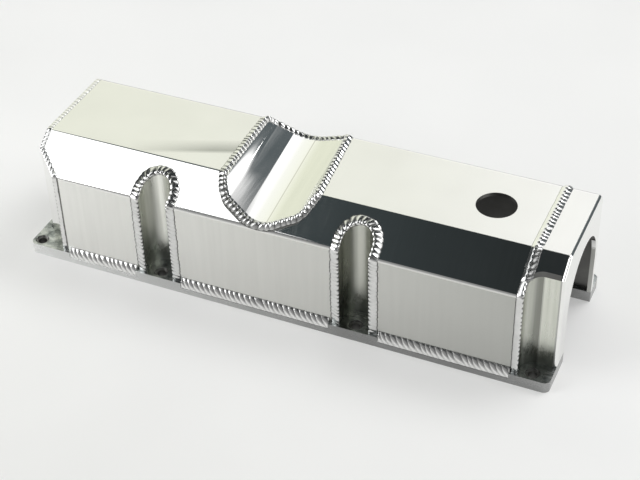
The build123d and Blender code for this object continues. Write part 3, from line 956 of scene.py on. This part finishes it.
def floor_paper_and_painted_light():
    """Pale paper, with painted light that lightens it to the rear; it glows a little where the camera or a reflection
    sees it.
    """
    own_glow = 0.3
    paint = Paint("floor_paper_and_painted_light")
    x, y, _ = paint.split(paint.place)
    # painted light: the paper's colour lightens from the front to the rear
    reach = paint.maths("ADD", y, paint.maths("MULTIPLY", x, 0.25))
    fall = paint.span(reach, -0.45, 0.25, 0.0, 1.0)
    sweep = paint.ramp(fall, [(0.0, (0.80, 0.80, 0.785)), (0.55, (0.95, 0.95, 0.94)), (1.0, (0.98, 0.98, 0.975))])
    cloud = paint.noise(6.0, 2.0)
    colour = paint.blend("MULTIPLY", sweep, paint.ramp(cloud, [(0.3, grey(0.97)), (0.7, grey(1.0))]))
    grain = paint.noise(700.0, 2.0)
    material = paint.set(Base_Color=colour, Roughness=0.6, Normal=paint.bump(grain, 0.03, 0.0005))
    ray = paint.add("ShaderNodeLightPath")
    seen = paint.maths("MAXIMUM", ray.outputs["Is Camera Ray"], ray.outputs["Is Glossy Ray"])
    glow = paint.add("ShaderNodeEmission")
    paint.link(colour, glow.inputs["Color"])
    mix = paint.add("ShaderNodeMixShader")
    paint.link(paint.maths("MULTIPLY", seen, own_glow), mix.inputs[0])
    paint.link(paint.shader.outputs[0], mix.inputs[1])
    paint.link(glow.outputs[0], mix.inputs[2])
    paint.link(mix.outputs[0], paint.out.inputs["Surface"])
    return material


FLOOR_SIZE = 9.0
bpy.ops.mesh.primitive_plane_add(size=FLOOR_SIZE, location=(0, 0, 0))
floor = bpy.context.object
floor.name = "floor"
floor.data.materials.append(floor_paper_and_painted_light())

world = bpy.data.worlds.new("studio")
bpy.context.scene.world = world
world.use_nodes = True
sky = world.node_tree
sky.nodes.clear()
sky_out = sky.nodes.new("ShaderNodeOutputWorld")
sky_light = sky.nodes.new("ShaderNodeBackground")
sky_place = sky.nodes.new("ShaderNodeTexCoord")
sky_split = sky.nodes.new("ShaderNodeSeparateXYZ")
sky.links.new(sky_place.outputs["Generated"], sky_split.inputs[0])


def sky_ramp(value, stops):
    """Colours for a value between -1 and 1, which the stops count from 0 to 1."""
    ramp = sky.nodes.new("ShaderNodeValToRGB")
    while len(ramp.color_ramp.elements) < len(stops):
        ramp.color_ramp.elements.new(0.5)
    for element, (position, colour) in zip(ramp.color_ramp.elements, stops):
        element.position = position
        element.color = (*colour, 1.0)
    shift = sky.nodes.new("ShaderNodeMapRange")
    shift.inputs["From Min"].default_value = -1.0
    sky.links.new(value, shift.inputs["Value"])
    sky.links.new(shift.outputs[0], ramp.inputs[0])
    return ramp.outputs[0]


def sky_mix(kind, factor, a, b):
    """a, blended into b by the factor."""
    node = sky.nodes.new("ShaderNodeMix")
    node.data_type = "RGBA"
    node.blend_type = kind
    for socket, value in ((node.inputs[0], factor), (node.inputs[6], a), (node.inputs[7], b)):
        if hasattr(value, "node"):
            sky.links.new(value, socket)
        else:
            socket.default_value = value
    return node.outputs[2]


def sky_dot(direction):
    """How far a direction of the sky points along a given one."""
    node = sky.nodes.new("ShaderNodeVectorMath")
    node.operation = "DOT_PRODUCT"
    node.inputs[1].default_value = direction
    sky.links.new(sky_place.outputs["Generated"], node.inputs[0])
    return node.outputs["Value"]


def sky_step(value, low, high):
    """0 below low and 1 above high, for a value between -1 and 1."""
    return sky_ramp(value, [((low + 1) / 2, grey(0.0)), ((high + 1) / 2, grey(1.0))])


def sky_times(*factors):
    """All the factors, multiplied."""
    product = factors[0]
    for factor in factors[1:]:
        product = sky_mix("MULTIPLY", 1.0, product, factor)
    return product


# A simple room for the polished faces to mirror: a dark ceiling, pale walls behind the cover with a dark doorway
# in them, a darker wall in front, and a dark patch at the left.
TOWARDS_CEILING = (0.15, 0.0, 1.0)
TOWARDS_DOORWAY = (-0.11, 1.0, 0.0)
ALONG_DOOR_EDGE = (0.9538, 0.42, 0.0)
TOWARDS_LEFT = (-1.0, 0.0, 0.0)
TOWARDS_DARK_PATCH = (-0.949, -0.10, 0.30)
across, depth, height = sky_split.outputs
ceiling = sky_ramp(across, [(0.29, (0.060, 0.075, 0.080)), (0.40, (0.022, 0.026, 0.027))])
wall_colours = [(0.20, (0.96, 0.98, 0.84)), (0.36, (1.02, 1.03, 0.96)), (0.42, grey(1.15)), (0.60, grey(1.5))]
wall_behind = sky_ramp(across, wall_colours)
shade = (0.10, 0.118, 0.125, 1.0)
doorway = sky_times(sky_step(across, 0.0, 0.03), sky_step(sky_dot(TOWARDS_DOORWAY), 0.640, 0.646))
door_edge = sky_times(
    sky_step(sky_dot(ALONG_DOOR_EDGE), 0.3060, 0.3074),
    sky_step(sky_dot(TOWARDS_LEFT), -0.062, -0.055),
)
wall_behind = sky_mix("MIX", door_edge, sky_mix("MIX", doorway, wall_behind, shade), shade)
behind = sky_mix("MIX", sky_step(sky_dot(TOWARDS_CEILING), 0.76, 0.80), wall_behind, ceiling)
front_wall = sky_ramp(height, [(0.55, grey(0.54)), (0.63, grey(0.28)), (0.76, grey(0.28))])
ahead = sky_mix("MIX", sky_step(height, 0.52, 0.64), front_wall, ceiling)
room = sky_mix("MIX", sky_step(depth, -0.05, 0.05), ahead, behind)
left_side = sky_step(sky_dot(TOWARDS_DARK_PATCH), 0.80, 0.86)
dark_patch = (0.06, 0.065, 0.065, 1.0)
sky.links.new(sky_mix("MIX", left_side, room, dark_patch), sky_light.inputs[0])
sky.links.new(sky_light.outputs[0], sky_out.inputs[0])


def softbox(name, place, aim, size, power):
    """A soft lamp at place that faces aim. Lengths are in metres, and the power is in watts."""
    light = bpy.data.lights.new(name, "AREA")
    light.shape = "RECTANGLE"
    light.size, light.size_y = size
    light.energy = power
    obj = bpy.data.objects.new(name, light)
    obj.location = place
    obj.rotation_euler = (Vector(aim) - Vector(place)).to_track_quat("-Z", "Y").to_euler()
    bpy.context.scene.collection.objects.link(obj)


ORIGIN = (0.0, 0.0, 0.0)
softbox("back_softbox", (0.75, 1.00, 1.90), ORIGIN, (1.0, 0.9), 16.0)
softbox("left_softbox", (-0.90, -0.70, 1.55), (-0.90, -0.70, 0.0), (0.56, 1.10), 2.9)
softbox("near_softbox", (-1.10, -0.80, 0.62), (0.0, -0.1, 0.0), (0.9, 0.9), 9.5)
softbox("fill_softbox", (0.77, -0.66, 1.95), ORIGIN, (1.2, 1.2), 10.0)

# the photograph's camera: its place and its axes came from fitting the cover's edges
CAMERA_PLACE = (0.401789, -0.854470, 0.783928)
CAMERA_RIGHT = Vector((0.91606, 0.40043, -0.02206))
CAMERA_UP = Vector((-0.23462, 0.57974, 0.78029))
CAMERA_BACK = Vector((0.32524, -0.70962, 0.62503))
CAMERA_LENS_MM = 85.4896
CAMERA_SENSOR_MM = 36.0
CAMERA_REACH = 50.0
camera_data = bpy.data.cameras.new("photo_camera")
camera = bpy.data.objects.new("photo_camera", camera_data)
bpy.context.scene.collection.objects.link(camera)
camera.location = CAMERA_PLACE
camera.rotation_euler = Matrix((CAMERA_RIGHT, CAMERA_UP, CAMERA_BACK)).transposed().to_euler()
camera_data.lens = CAMERA_LENS_MM
camera_data.sensor_width = CAMERA_SENSOR_MM
camera_data.clip_end = CAMERA_REACH
bpy.context.scene.camera = camera
bpy.context.scene.view_settings.view_transform = "Standard"

bpy.context.view_layer.update()
